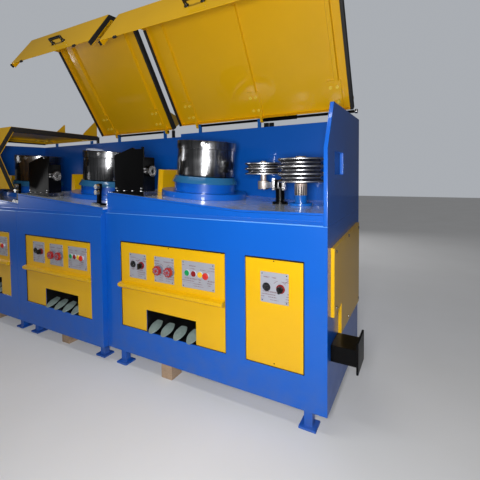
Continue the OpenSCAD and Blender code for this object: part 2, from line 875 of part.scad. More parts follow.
// Rubber strips on the outer faces of the hood's side flanges, and two buffers under the flap
seal_t = 9;
seal_w = 30;
seal_in = 2;
buffer_w = 26;
buffer_d = 14;
buffer_h = 16;
buffer_x = 145;
module hood_seal(bay, angle) {
    x0 = hood_left(bay);
    x1 = hood_right(bay);
    at_hinge(bay, angle) for (x = [x0 - seal_t, x1])
        along_x(x, x + seal_t) polygon(strip(hood_line(bay), seal_in, seal_in + seal_w));
    for (x = [x0 + buffer_x, x1 - buffer_x]) on_flap(bay, angle, x - buffer_w / 2, -buffer_h)
        translate([0, -(buffer_d + sheet_t) / 2, 0]) cube([buffer_w, buffer_d, buffer_h]);
}

module end_hood_seal() { color("black") line_frame() hood_seal(END, end_open); }
module middle_hood_seal() { color("black") line_frame() hood_seal(MIDDLE, middle_open); }
module far_hood_seal() { color("black") line_frame() hood_seal(FAR, far_open); }

// Black bow handle on the hood's front flap
handle_x = [740, 535, 535];
handle_w = 130;
handle_d = 45;
handle_r = 8;
handle_base = 105;
module hood_handle(bay, angle) {
    on_flap(bay, angle, handle_x[bay] - handle_w / 2, handle_base) {
        for (x = [handle_r, handle_w - handle_r]) {
            translate([x, 0, 0]) rotate([-90, 0, 0]) cylinder(h = 5, r = handle_r + 6);
            translate([x, 0, 0]) rotate([-90, 0, 0]) cylinder(h = handle_d - handle_r, r = handle_r);
            translate([x, handle_d - handle_r, 0]) sphere(r = handle_r, $fn = 48);
        }
        translate([handle_r, handle_d - handle_r, 0]) rotate([0, 90, 0])
            cylinder(h = handle_w - 2 * handle_r, r = handle_r);
    }
}

module end_hood_handle() { color("black") line_frame() hood_handle(END, end_open); }
module middle_hood_handle() { color("black") line_frame() hood_handle(MIDDLE, middle_open); }
module far_hood_handle() { color("black") line_frame() hood_handle(FAR, far_open); }

// Limit switches on the back walls: place along the bay, width and height
switches = [[[802, 36, 32], [846, 34, 30]], [[896, 24, 66]], [[896, 24, 66]]];
switch_d = 20;
module limit_switches() {
    color("black") line_frame() for (bay = BAYS, s = switches[bay])
        in_bay(bay, s[0], hinge_y - switch_d / 2, fold_z + bay_z[bay] + wall_h)
            cube([s[1], switch_d, s[2]]);
}

// Foot pedals in the recess of each bay, rocking on pins in their stands
pedal_first = 398;
pedal_pitch = 98;
pedal_in = 40;
pedal_l = 111;
pedal_nose_l = 61;
pedal_w = 72;
pedal_arc_r = 84;
pedal_t = 8;
pedal_pin_z = 16;
pedal_pin_r = 5;
pedal_boss_w = 26;
pedal_boss_r = 9;
pedal_back = 6;
pedal_tilt = 24.5;
ear_t = 6;
ear_r = 9;
stand_l = 44;
stand_t = 4;
PEDALS = [0, 1, 2, 3];
module at_pedal(bay, i) {
    in_bay(bay, pedal_first + i * pedal_pitch, bay_y[bay] + pedal_in, under_h + sill_h) children();
}

module pedal_stands() {
    ear = pedal_boss_w / 2 + 1;
    color("dimgray") line_frame() for (bay = BAYS, i = PEDALS) at_pedal(bay, i) {
        for (side = [0, 1]) mirror([side, 0, 0]) {
            translate([ear, -stand_l / 2, 0]) cube([3 * ear_t, stand_l, stand_t]);
            along_x(ear, ear + ear_t) {
                translate([-ear_r, 0]) square([2 * ear_r, pedal_pin_z]);
                translate([0, pedal_pin_z]) circle(r = ear_r);
            }
        }
        translate([-ear - ear_t, 0, pedal_pin_z]) rotate([0, 90, 0])
            cylinder(h = 2 * (ear + ear_t), r = pedal_pin_r);
    }
}

// Outline of a tread: two arcs cut off at the nose and at the heel
module tread() {
    intersection() {
        translate([pedal_arc_r - pedal_w / 2, 0]) circle(r = pedal_arc_r);
        translate([pedal_w / 2 - pedal_arc_r, 0]) circle(r = pedal_arc_r);
        translate([-pedal_w / 2, -pedal_nose_l]) square([pedal_w, pedal_l]);
    }
}

// Tread over a boss that turns on the pin
module pedal(bay, i) {
    at_pedal(bay, i) translate([0, 0, pedal_pin_z]) rotate([pedal_tilt, 0, 0]) difference() {
        union() {
            translate([-pedal_boss_w / 2, 0, 0]) rotate([0, 90, 0])
                cylinder(h = pedal_boss_w, r = pedal_boss_r);
            translate([-pedal_boss_w / 2, -pedal_boss_r, 0])
                cube([pedal_boss_w, 2 * pedal_boss_r, pedal_boss_r + 1]);
            translate([0, pedal_back, pedal_boss_r]) linear_extrude(pedal_t) tread();
        }
        translate([-pedal_boss_w, 0, 0]) rotate([0, 90, 0])
            cylinder(h = 2 * pedal_boss_w, r = pedal_pin_r + running);
    }
}

module end_pedal_1() { color("darkseagreen") line_frame() pedal(END, 0); }
module end_pedal_2() { color("darkseagreen") line_frame() pedal(END, 1); }
module end_pedal_3() { color("darkseagreen") line_frame() pedal(END, 2); }
module end_pedal_4() { color("darkseagreen") line_frame() pedal(END, 3); }
module middle_pedal_1() { color("darkseagreen") line_frame() pedal(MIDDLE, 0); }
module middle_pedal_2() { color("darkseagreen") line_frame() pedal(MIDDLE, 1); }
module middle_pedal_3() { color("darkseagreen") line_frame() pedal(MIDDLE, 2); }
module middle_pedal_4() { color("darkseagreen") line_frame() pedal(MIDDLE, 3); }
module far_pedal_1() { color("darkseagreen") line_frame() pedal(FAR, 0); }
module far_pedal_2() { color("darkseagreen") line_frame() pedal(FAR, 1); }
module far_pedal_3() { color("darkseagreen") line_frame() pedal(FAR, 2); }
module far_pedal_4() { color("darkseagreen") line_frame() pedal(FAR, 3); }

end_bench();
standard_benches();
worktops();
back_walls();
right_side_wall();
left_side_wall();
control_panels();
access_panel();
side_guard();
junction_box();
feet();
packing_blocks();
control_plates();
operator_controls();
drum_bases();
end_drum();
middle_drum();
far_drum();
die_boxes();
lubricant_boxes();
wire_rollers();
guide_post();
guide_sheave();
tension_post();
tension_arm();
tension_sheave();
hinge_posts();
hinge_shafts();
limit_switches();
end_hood();
middle_hood();
far_hood();
end_hood_seal();
middle_hood_seal();
far_hood_seal();
end_hood_handle();
middle_hood_handle();
far_hood_handle();
pedal_stands();
end_pedal_1();
end_pedal_2();
end_pedal_3();
end_pedal_4();
middle_pedal_1();
middle_pedal_2();
middle_pedal_3();
middle_pedal_4();
far_pedal_1();
far_pedal_2();
far_pedal_3();
far_pedal_4();
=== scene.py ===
import json
import math

import bmesh
import bpy
from mathutils import Matrix, Vector


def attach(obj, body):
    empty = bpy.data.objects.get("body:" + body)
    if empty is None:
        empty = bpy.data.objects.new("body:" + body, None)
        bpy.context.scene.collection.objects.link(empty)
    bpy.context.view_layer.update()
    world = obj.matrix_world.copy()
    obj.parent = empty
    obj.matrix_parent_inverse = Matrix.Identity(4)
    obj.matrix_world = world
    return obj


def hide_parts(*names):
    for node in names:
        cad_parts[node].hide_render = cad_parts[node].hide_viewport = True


bpy.ops.wm.read_factory_settings(use_empty=True)
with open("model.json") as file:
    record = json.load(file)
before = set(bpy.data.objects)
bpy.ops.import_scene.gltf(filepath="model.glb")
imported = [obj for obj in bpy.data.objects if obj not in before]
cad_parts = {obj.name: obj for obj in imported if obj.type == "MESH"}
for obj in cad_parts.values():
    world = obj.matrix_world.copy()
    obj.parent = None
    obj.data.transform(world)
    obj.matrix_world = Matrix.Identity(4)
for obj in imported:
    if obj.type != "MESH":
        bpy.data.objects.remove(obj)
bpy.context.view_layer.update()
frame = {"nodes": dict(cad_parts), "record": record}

# Machine sizes that the CAD pieces share, in metres, with the origin at the end bay's left foot
FOOT_X = 0.105
FOOT_Y = 0.060
BAY_PITCH = 1.000
FOLD_HEIGHT = 1.035
TILT = math.radians(4.6)
BAYS = ["end", "middle", "far"]
BAY_X = {"end": 0.0, "middle": -BAY_PITCH, "far": -2 * BAY_PITCH}
BAY_Y = {"end": 0.0, "middle": -0.040, "far": -0.040}
BAY_Z = {"end": 0.0, "middle": -0.025, "far": -0.025}
OPEN_ANGLE = {"end": math.radians(57), "middle": math.radians(57), "far": 0.0}
PLATE_FACE = 0.006
DRUM_PLACE = (0.505, 0.460)
WORKTOP_LEVEL = 0.060
TILTED_LENGTH = 1.010
DRUM_SEAT = 0.1481
DRUM_HEIGHT = 0.181
RIM_RADIUS = 0.211
DIE_BOX_FRONT = 0.050
DIE_BOX_RIGHT = 0.307
TENSION_PIVOT = (1.083, 0.452)
TENSION_ARM = 0.140
TENSION_ARM_REST = math.radians(163)
HINGE_Y = 0.870
HINGE_UP = 0.675
PANEL_BOTTOM = 0.287
PANEL_SPAN = {"end": (0.135, 0.940), "middle": (0.112, 0.888), "far": (0.112, 0.888)}
PANEL_TOP = {"end": 0.855, "middle": 0.830, "far": 0.830}
ACCESS_SPAN = (1.063, 1.387)
FOOT_SPAN = (0.346, 0.734)
FOOT_TOP = 0.426

# The photograph's camera
CAMERA_PLACE = (1.785, -1.684, 1.280)
CAMERA_YAW = math.radians(29.33)
CAMERA_PITCH = math.radians(2.40)
CAMERA_ROLL = math.radians(0.59)
FRAME_PIXELS = 480
FOCAL_PIXELS = 345
CENTRE_PIXEL = (230, 190)
SENSOR_WIDTH = 36

# The studio: what fills the shadows, what the camera sees behind the part, and the lamps, each
# with its place, what it looks at, its width and height in metres and its power in watts
FILL_COLOUR = (0.92, 0.96, 1.0, 1)
FILL_STRENGTH = 0.09
BACKDROP_COLOUR = (0.40, 0.42, 0.45, 1)
LAMPS = {
    "flash": ((1.69, -1.74, 1.29), (0.5, 0.2, 1.1), (0.36, 0.36), 43),
    "left_strip": ((-3.7, -1.23, 1.4), (0.2, 0.3, 1.2), (0.3, 1.0), 10),
    "top_strip": ((0.2, -1.4, 3.8), (0.2, 0.2, 0.9), (2.6, 0.2), 27),
    "rear_panel": ((-1.6, 5.4, 2.4), (-0.5, 0.9, 1.0), (4.0, 1.6), 80),
}
FLOOR_SIZE = 40

# Edges sharper than these are rounded, on copies of CAD pieces and on pieces made by hand
COPY_ANGLE = math.radians(32)
HAND_ANGLE = math.radians(30)


def row_point(x, y, z):
    """A point measured from the end bay's left end and front face, in the part's frame."""
    return Vector((x - FOOT_X, y - FOOT_Y, z))


# Camera, lights and floor


def aim_camera():
    camera = bpy.data.cameras.new("camera")
    camera.sensor_width = SENSOR_WIDTH
    camera.lens = FOCAL_PIXELS / FRAME_PIXELS * SENSOR_WIDTH
    middle = FRAME_PIXELS / 2
    camera.shift_x = (middle - CENTRE_PIXEL[0]) / FRAME_PIXELS
    camera.shift_y = (CENTRE_PIXEL[1] - middle) / FRAME_PIXELS
    holder = bpy.data.objects.new("camera", camera)
    bpy.context.scene.collection.objects.link(holder)
    holder.matrix_world = (
        Matrix.Translation(CAMERA_PLACE)
        @ Matrix.Rotation(CAMERA_YAW, 4, "Z")
        @ Matrix.Rotation(math.pi / 2 - CAMERA_PITCH, 4, "X")
        @ Matrix.Rotation(-CAMERA_ROLL, 4, "Z")
    )
    bpy.context.scene.camera = holder


def soft_lamp(name, place, target, size, power):
    lamp = bpy.data.lights.new(name, "AREA")
    lamp.shape = "RECTANGLE"
    lamp.size, lamp.size_y = size
    lamp.energy = power
    holder = bpy.data.objects.new(name, lamp)
    holder.visible_camera = False
    bpy.context.scene.collection.objects.link(holder)
    look = Vector(target) - Vector(place)
    turn = look.to_track_quat("-Z", "Y").to_matrix().to_4x4()
    holder.matrix_world = Matrix.Translation(place) @ turn


def light_studio():
    world = bpy.data.worlds.new("studio")
    world.use_nodes = True
    bpy.context.scene.world = world
    nodes = world.node_tree.nodes
    links = world.node_tree.links
    fill = nodes["Background"]
    fill.inputs["Color"].default_value = FILL_COLOUR
    fill.inputs["Strength"].default_value = FILL_STRENGTH
    backdrop = nodes.new("ShaderNodeBackground")
    backdrop.inputs["Color"].default_value = BACKDROP_COLOUR
    path = nodes.new("ShaderNodeLightPath")
    seen = nodes.new("ShaderNodeMath")
    seen.operation = "MAXIMUM"
    mix = nodes.new("ShaderNodeMixShader")
    links.new(path.outputs["Is Camera Ray"], seen.inputs[0])
    links.new(path.outputs["Is Transmission Ray"], seen.inputs[1])
    links.new(seen.outputs[0], mix.inputs["Fac"])
    links.new(fill.outputs[0], mix.inputs[1])
    links.new(backdrop.outputs[0], mix.inputs[2])
    links.new(mix.outputs[0], nodes["World Output"].inputs["Surface"])
    for name, setting in LAMPS.items():
        soft_lamp(name, *setting)


def lay_floor(finish):
    bpy.ops.object.select_all(action="DESELECT")
    bpy.ops.mesh.primitive_plane_add(size=FLOOR_SIZE)
    floor = bpy.context.active_object
    floor.name = "floor"
    floor.data.materials.append(finish)


# Shader arithmetic


class Value:
    """A number inside a material; arithmetic on it adds Math nodes."""

    def __init__(self, finish, socket):
        self.finish = finish
        self.socket = socket

    def math(self, operation, *numbers):
        return self.finish.math(operation, *numbers)

    def __add__(self, other):
        return self.math("ADD", self, other)

    def __sub__(self, other):
        return self.math("SUBTRACT", self, other)

    def __rsub__(self, other):
        return self.math("SUBTRACT", other, self)

    def __mul__(self, other):
        return self.math("MULTIPLY", self, other)

    def __pow__(self, other):
        return self.math("POWER", self, other)

    def __gt__(self, other):
        return self.math("GREATER_THAN", self, other)

    def __lt__(self, other):
        return self.math("LESS_THAN", self, other)

    __radd__ = __add__
    __rmul__ = __mul__


class Finish:
    """A material whose look comes from nodes on the piece's own coordinates."""

    def __init__(self, name, **constants):
        self.material = bpy.data.materials.new(name)
        self.material.use_nodes = True
        self.tree = self.material.node_tree
        self.shader = self.tree.nodes["Principled BSDF"]
        self.place = self.node("ShaderNodeTexCoord", {}, {}, "Object")
        for socket, value in constants.items():
            self.shader.inputs[socket.replace("_", " ")].default_value = value

    def node(self, kind, settings, inputs, output=0):
        """Adds a node with its settings, then its sockets' values or links."""
        node = self.tree.nodes.new(kind)
        for name, value in settings.items():
            setattr(node, name, value)
        pairs = inputs.items() if isinstance(inputs, dict) else enumerate(inputs)
        for socket, value in pairs:
            self.feed(node.inputs[socket], value)
        return Value(self, node.outputs[output])

    def math(self, operation, *numbers):
        return self.node("ShaderNodeMath", {"operation": operation}, numbers)

    def feed(self, socket, value):
        if isinstance(value, Value):
            self.tree.links.new(value.socket, socket)
        else:
            socket.default_value = value

    def give(self, **varying):
        """Feeds the shader's sockets that vary over the surface."""
        for socket, value in varying.items():
            self.feed(self.shader.inputs[socket.replace("_", " ")], value)

    def stretched(self, scale, turn=0.0):
        """The piece's coordinates times a scale along each axis, turned about Z."""
        return self.node(
            "ShaderNodeMapping", {"vector_type": "TEXTURE"},
            {"Vector": self.place, "Rotation": (0, 0, turn), "Scale": tuple(1 / s for s in scale)},
        )

    def noise(self, scale, detail=3, place=None, rough=0.5):
        return self.node(
            "ShaderNodeTexNoise", {},
            {"Vector": place or self.place, "Scale": scale, "Detail": detail, "Roughness": rough},
        )

    def ramp(self, value, low, high):
        """0 where the value is low and 1 where it is high, straight between."""
        return self.node(
            "ShaderNodeMapRange", {"clamp": True},
            {"Value": value, "From Min": low, "From Max": high},
        )

    def along(self, axis):
        """The piece's coordinate along an axis: 0 for X, 1 for Y, 2 for Z."""
        return self.node("ShaderNodeSeparateXYZ", {}, {"Vector": self.place}, axis)

    def mixed(self, share, first, second):
        """The first colour, with this share of the second over it."""
        return self.node(
            "ShaderNodeMix", {"data_type": "RGBA"}, {0: share, 6: first, 7: second}, 2
        )

    def bump(self, height, depth, strength=1.0):
        normal = self.node(
            "ShaderNodeBump", {}, {"Height": height, "Distance": depth, "Strength": strength}
        )
        self.give(Normal=normal)


def srgb(red, green, blue):
    """A colour given as it looks on screen, 0 to 255, as Blender's linear values."""
    def linear(level):
        level /= 255
        return level / 12.92 if level <= 0.04045 else ((level + 0.055) / 1.055) ** 2.4
    return (linear(red), linear(green), linear(blue), 1)


def shade(colour, factor):
    """The colour, darker or lighter by the factor."""
    return tuple(min(1, c * factor) for c in colour[:3]) + (1,)


# Finishes


def enamel(name, colour, roughness=0.30, scuffs=0.5):
    """Sprayed gloss paint: faint orange peel, cloudy sheen, dust low down and a few scuffs."""
    paint = Finish(name, Specular_IOR_Level=0.3, Coat_Weight=0.5, Coat_Roughness=0.07)
    clouds = paint.noise(2.2, 4)
    streaks = paint.noise(9, 5, paint.stretched((60, 60, 3)), 0.65)
    scuff = paint.ramp(streaks, 0.66, 0.74) * scuffs
    low_down = paint.ramp(paint.along(2), 0.35, 0.08)
    dust = low_down * paint.ramp(paint.noise(14, 6), 0.35, 0.7)
    tone = paint.mixed(clouds, shade(colour, 0.90), shade(colour, 1.08))
    tone = paint.mixed(scuff * 0.35, tone, shade(colour, 1.5))
    tone = paint.mixed(dust * 0.22, tone, srgb(120, 118, 112))
    paint.give(
        Base_Color=tone,
        Roughness=roughness - 0.05 + clouds * 0.10 + scuff * 0.15 + dust * 0.2,
    )
    paint.bump(paint.noise(320, 2), 0.00012)
    return paint.material


def worktop_paint():
    """Grey-blue plate, oily and scratched by wire and tools."""
    paint = Finish("worktop_paint", Coat_Weight=0.9, Coat_Roughness=0.06)
    colour = srgb(214, 224, 236)
    clouds = paint.noise(5, 6, rough=0.6)
    scratches = paint.noise(16, 3, paint.stretched((3, 70, 10), 0.5), 0.7)
    cross = paint.noise(16, 3, paint.stretched((70, 3, 10), -0.3), 0.7)
    marks = paint.ramp(scratches, 0.62, 0.70) + paint.ramp(cross, 0.64, 0.71)
    stain = paint.ramp(clouds, 0.52, 0.68)
    tone = paint.mixed(stain, colour, shade(colour, 0.66))
    tone = paint.mixed(marks * 0.35, tone, shade(colour, 1.45))
    paint.give(Base_Color=tone, Roughness=0.20 + stain * 0.16 + marks * 0.1)
    paint.bump(marks, 0.0002, 0.6)
    return paint.material


def turned_steel(name, colour, dull, painted_reflection_streaks=0.4, roughness=0.19):
    """Lathe-turned steel: fine rings about Z, painted reflection streaks, rubbed and rusty where
    dull.
    """
    steel = Finish(name, Metallic=1.0, Anisotropic=1.0)
    rings = steel.noise(1, 2, steel.stretched((2, 2, 900)))
    bands = steel.noise(1, 3, steel.stretched((1, 1, 40)))
    rubbed = steel.noise(7, 5, rough=0.6)
    spots = steel.noise(38, 6, rough=0.7)
    worn = steel.ramp(rubbed, 0.45, 0.75) * (0.25 + dull * 0.5)
    # Painted reflection: vertical bands of the colour are darkened, for the surroundings reflected
    # in the steel.
    streaks = steel.ramp(steel.noise(1, 5, steel.stretched((48, 48, 0.4)), 0.75), 0.44, 0.56)
    rust = steel.ramp(spots, 0.50, 0.72) * dull * 0.7
    tone = steel.mixed(streaks * painted_reflection_streaks, colour, shade(colour, 0.35))
    tone = steel.mixed(worn, tone, shade(colour, 0.5))
    tone = steel.mixed(rust, tone, srgb(104, 72, 54))
    steel.give(
        Base_Color=tone,
        Metallic=1 - rust * 0.6,
        Roughness=roughness + dull * 0.12 + bands * 0.05 + worn * 0.12 + rust * 0.2,
    )
    steel.bump(rings, 0.00010, 0.5)
    return steel.material


# Printed rows on the switch plates, by height, and dials, by place along a bay and height
PRINTED_ROWS = (
    (0.751, 0.757), (0.736, 0.740), (0.675, 0.682), (0.662, 0.667), (0.649, 0.654), (0.636, 0.640),
)
PRINTED_DIALS = ((0.318, 0.710), (0.465, 0.700), (0.554, 0.700), (0.258, 0.702))


def switch_plate_finish():
    """Brushed grey plate with small printed bars, and dial ticks over the rotary controls."""
    metal = Finish("switch_plate", Metallic=0.2)
    lines = metal.noise(30, 3, metal.stretched((1, 10, 40)), 0.7)
    spots = metal.noise(60, 4)
    height = metal.along(2)
    along = metal.math("WRAP", metal.along(0) + FOOT_X, BAY_PITCH, 0.0)
    bars = metal.noise(1, 1, metal.stretched((420, 1, 12)))
    gaps = metal.noise(1, 0, metal.stretched((22, 1, 20)))
    rows = sum((height > low) * (height < high) for low, high in PRINTED_ROWS)
    ink = rows * (bars > 0.44) * (gaps > 0.50)
    for x, z in PRINTED_DIALS:
        across, up = along - x, height - z
        reach = (across * across + up * up) ** 0.5
        ink = ink + (reach > 0.037) * (reach < 0.040) * (up > 0.022) * (across * across > 0.0001)
    tone = metal.mixed(lines, srgb(160, 162, 172), srgb(186, 187, 196))
    tone = metal.mixed(ink * 0.6, tone, srgb(110, 34, 44))
    metal.give(Base_Color=tone, Roughness=0.40 + spots * 0.15 + ink * 0.1)
    metal.bump(lines, 0.00005, 0.5)
    return metal.material


def black_paint():
    """Thin black paint, worn through to grey in specks."""
    paint = Finish("black_paint", Specular_IOR_Level=0.12)
    wear = paint.noise(30, 6, rough=0.7)
    clouds = paint.noise(6, 3)
    tone = paint.mixed(paint.ramp(wear, 0.66, 0.74) * 0.4, srgb(6, 6, 7), srgb(60, 60, 64))
    paint.give(Base_Color=tone, Roughness=0.26 + clouds * 0.14)
    paint.bump(paint.noise(260, 2), 0.0001)
    return paint.material


def rubber():
    """Matt rubber with a fine grain."""
    soft = Finish("rubber")
    grain = soft.noise(400, 3)
    soft.give(
        Base_Color=soft.mixed(soft.noise(12, 3), srgb(16, 16, 17), srgb(34, 34, 35)),
        Roughness=0.55 + grain * 0.2,
    )
    soft.bump(grain, 0.0002)
    return soft.material


def hammered(name, colour):
    """Hammer-finish paint with its small dimples."""
    paint = Finish(name, Metallic=0.15)
    dimples = paint.node(
        "ShaderNodeTexVoronoi", {"feature": "SMOOTH_F1"}, {"Vector": paint.place, "Scale": 170}
    )
    grime = paint.ramp(paint.noise(22, 5), 0.42, 0.7)
    paint.give(
        Base_Color=paint.mixed(grime * 0.5, colour, shade(colour, 0.55)),
        Roughness=0.36 + grime * 0.25,
    )
    paint.bump(dimples, 0.0009)
    return paint.material


def moulded(name, colour, roughness=0.25):
    """Moulded plastic with a very fine grain."""
    plastic = Finish(name, Coat_Weight=0.2)
    grain = plastic.noise(500, 2)
    plastic.give(
        Base_Color=plastic.mixed(plastic.noise(90, 3), shade(colour, 0.85), shade(colour, 1.1)),
        Roughness=roughness + grain * 0.08,
    )
    plastic.bump(grain, 0.00003)
    return plastic.material


def timber():
    """Sawn packing timber, dirty in patches."""
    wood = Finish("timber")
    grain = wood.noise(4, 5, wood.stretched((14, 60, 60)), 0.6)
    rings = wood.node(
        "ShaderNodeTexWave", {"wave_type": "BANDS", "bands_direction": "Z"},
        {"Vector": wood.stretched((1.2, 6, 6)), "Scale": 9, "Distortion": 5, "Detail": 3},
    )
    dirt = wood.ramp(wood.noise(18, 5), 0.5, 0.75)
    tone = wood.mixed(rings * 0.6 + grain * 0.4, srgb(205, 178, 150), srgb(160, 128, 100))
    tone = wood.mixed(dirt * 0.4, tone, srgb(80, 70, 60))
    wood.give(Base_Color=tone, Roughness=0.7 + grain * 0.2)
    wood.bump(grain, 0.0008)
    return wood.material


def concrete():
    """A pale floor with a little light of its own, so that it stays pale far from the lamps."""
    floor = Finish("pale_floor", Roughness=0.85, Emission_Strength=0.22)
    tone = floor.mixed(floor.noise(1.5, 6), (0.56, 0.56, 0.56, 1), (0.62, 0.62, 0.63, 1))
    seen = floor.node("ShaderNodeLightPath", {}, {}, "Is Camera Ray")
    floor.give(Base_Color=tone, Emission_Color=floor.mixed(seen, (0, 0, 0, 1), tone))
    return floor.material


# Modelling helpers


def close_all():
    """Leaves edit mode and selects nothing."""
    if bpy.context.mode != "OBJECT":
        bpy.ops.object.mode_set(mode="OBJECT")
    bpy.ops.object.select_all(action="DESELECT")


def choose(*pieces):
    close_all()
    for piece in pieces:
        piece.select_set(True)
    bpy.context.view_layer.objects.active = pieces[0]


def softened(node, width, finish, reshape=None):
    """A copy of a CAD piece, worked on by reshape and with rounded edges, which stands for it."""
    piece = bpy.data.objects.new(node + "_rounded", frame["nodes"][node].data.copy())
    bpy.context.scene.collection.objects.link(piece)
    choose(piece)
    piece.data.materials.clear()
    piece.data.materials.append(finish)
    bpy.ops.mesh.customdata_custom_splitnormals_clear()
    bpy.ops.object.mode_set(mode="EDIT")
    bpy.ops.mesh.select_all(action="SELECT")
    bpy.ops.mesh.remove_doubles(threshold=0.00001)
    bpy.ops.mesh.dissolve_limited(angle_limit=math.radians(0.5))
    bpy.ops.object.mode_set(mode="OBJECT")
    if reshape:
        reshape(piece)
    rounded(piece, width, COPY_ANGLE, clamped=False)
    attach(piece, body_of_node(node))
    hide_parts(node)
    return piece


def rounded(piece, width, sharper_than, clamped):
    """Rounds the sharp edges, smooths the rounds and keeps the large faces flat."""
    choose(piece)
    bevel = piece.modifiers.new("edges", "BEVEL")
    bevel.width = width
    bevel.segments = 2
    bevel.limit_method = "ANGLE"
    bevel.angle_limit = sharper_than
    bevel.use_clamp_overlap = clamped
    bpy.ops.object.modifier_apply(modifier="edges")
    bpy.ops.object.shade_smooth_by_angle(angle=COPY_ANGLE)
    weights = piece.modifiers.new("flat", "WEIGHTED_NORMAL")
    weights.keep_sharp = True
    weights.weight = 90
    bpy.ops.object.modifier_apply(modifier="flat")


def body_of_node(node):
    for body, members in frame["record"]["behaviour"]["bodies"].items():
        if node in members:
            return body


def dress(node, finish):
    """Gives a CAD piece its finish, with its shape as it is."""
    mesh = frame["nodes"][node].data
    mesh.materials.clear()
    mesh.materials.append(finish)


# Faces chosen by place or normal, and what is done to them


def faces_where(piece, test):
    """Enters edit mode with only the faces selected whose centre and normal pass the test."""
    choose(piece)
    bpy.ops.object.mode_set(mode="EDIT")
    bpy.ops.mesh.select_mode(type="FACE")
    bpy.ops.mesh.select_all(action="DESELECT")
    mesh = bmesh.from_edit_mesh(piece.data)
    for face in mesh.faces:
        face.select = test(face.calc_center_median(), face.normal)
    mesh.select_flush_mode()
    bmesh.update_edit_mesh(piece.data)


def painted(piece, finish, test):
    """Gives a finish of its own to the faces whose centre and normal pass the test."""
    faces_where(piece, test)
    bpy.ops.object.mode_set(mode="OBJECT")
    bpy.ops.object.material_slot_add()
    piece.material_slots[-1].material = finish
    bpy.ops.object.mode_set(mode="EDIT")
    bpy.ops.object.material_slot_assign()
    bpy.ops.object.mode_set(mode="OBJECT")


def cut(piece, point, normal, away=False):
    """Cuts new edges where a plane crosses the piece, or all away on the plane's far side."""
    choose(piece)
    bpy.ops.object.mode_set(mode="EDIT")
    bpy.ops.mesh.select_all(action="SELECT")
    bpy.ops.mesh.bisect(plane_co=point, plane_no=normal, clear_outer=away, use_fill=away)
    bpy.ops.object.mode_set(mode="OBJECT")


# Shapes made by hand: rounds and blocks with stepped tops, and their copies


def finished(name, height, steps, width, finish):
    """Names the primitive just added, steps its top by insets, rounds it and gives the finish."""
    piece = bpy.context.active_object
    piece.name = name
    bpy.ops.object.transform_apply(location=True, rotation=True, scale=True)
    if steps:
        faces_where(piece, lambda centre, normal: normal.z > 0.9 and centre.z > height * 0.99)
        for inset, rise in steps:
            bpy.ops.mesh.inset(thickness=inset, depth=rise)
        bpy.ops.object.mode_set(mode="OBJECT")
    rounded(piece, width, HAND_ANGLE, clamped=True)
    piece.data.materials.clear()
    piece.data.materials.append(finish)
    return piece


def block(name, size, finish, width=0.0015, steps=()):
    """A block that stands on its base at the origin."""
    close_all()
    bpy.ops.mesh.primitive_cube_add(size=1, location=(0, 0, size[2] / 2))
    bpy.context.active_object.scale = size
    return finished(name, size[2], steps, width, finish)


def round_piece(name, radius, height, finish, sides=32, width=0.0006, steps=()):
    """A turned or hexagonal piece along Z from the origin."""
    close_all()
    bpy.ops.mesh.primitive_cylinder_add(
        vertices=sides, radius=radius, depth=height, location=(0, 0, height / 2)
    )
    return finished(name, height, steps, width, finish)


def placed(piece, places):
    """One copy of the piece at each place, all in one object; the pattern goes away."""
    name = piece.name
    copies = []
    for place in places:
        copy = piece.copy()
        copy.data = piece.data.copy()
        bpy.context.scene.collection.objects.link(copy)
        copy.matrix_world = place
        copies.append(copy)
    bpy.data.objects.remove(piece)
    choose(*copies)
    if len(copies) > 1:
        bpy.ops.object.join()
    whole = bpy.context.active_object
    whole.name = name
    bpy.ops.object.transform_apply(location=True, rotation=True, scale=True)
    return whole


def fixed(piece, body):
    """Makes a piece ride on a body."""
    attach(piece, body)


# Places on the machine


def facing(point, axis):
    """A place whose Z looks along an axis."""
    return Matrix.Translation(point) @ Vector(axis).to_track_quat("Z", "Y").to_matrix().to_4x4()


def bay_point(bay, x, y, z):
    """A point of a bay: along it from its left end, behind the row's front, above the floor."""
    return row_point(BAY_X[bay] + x, y, z)


def front_of(bay, x, z, depth=PLATE_FACE):
    """A place on a bay's front that looks at the operator."""
    return facing(bay_point(bay, x, BAY_Y[bay] + depth, z), (0, -1, 0))


def hood_frame(bay, x=0.0):
    """A hood's own axes on its hinge: X along the bay, -Y forward and Z up as if it were shut."""
    hinge = bay_point(bay, x, HINGE_Y, FOLD_HEIGHT + BAY_Z[bay] + HINGE_UP)
    return Matrix.Translation(hinge) @ Matrix.Rotation(-OPEN_ANGLE[bay], 4, "X")


def hood_place(bay, x, forward, up):
    """A place under a hood's sheet at rest: along the bay, forward of the hinge and up from it."""
    return hood_frame(bay, x) @ facing((0, -forward, up), (0, 0, -1))


def on_worktop(bay, x, y, up=0.0):
    """A place on the worktop, square to it."""
    drop = max(0.0, TILTED_LENGTH - x)
    level = FOLD_HEIGHT + BAY_Z[bay] + WORKTOP_LEVEL + drop * math.tan(TILT)
    tilt = Matrix.Rotation(TILT if drop else 0.0, 4, "Y")
    return Matrix.Translation(bay_point(bay, x, y, level)) @ tilt @ Matrix.Translation((0, 0, up))


aim_camera()
light_studio()
lay_floor(concrete())

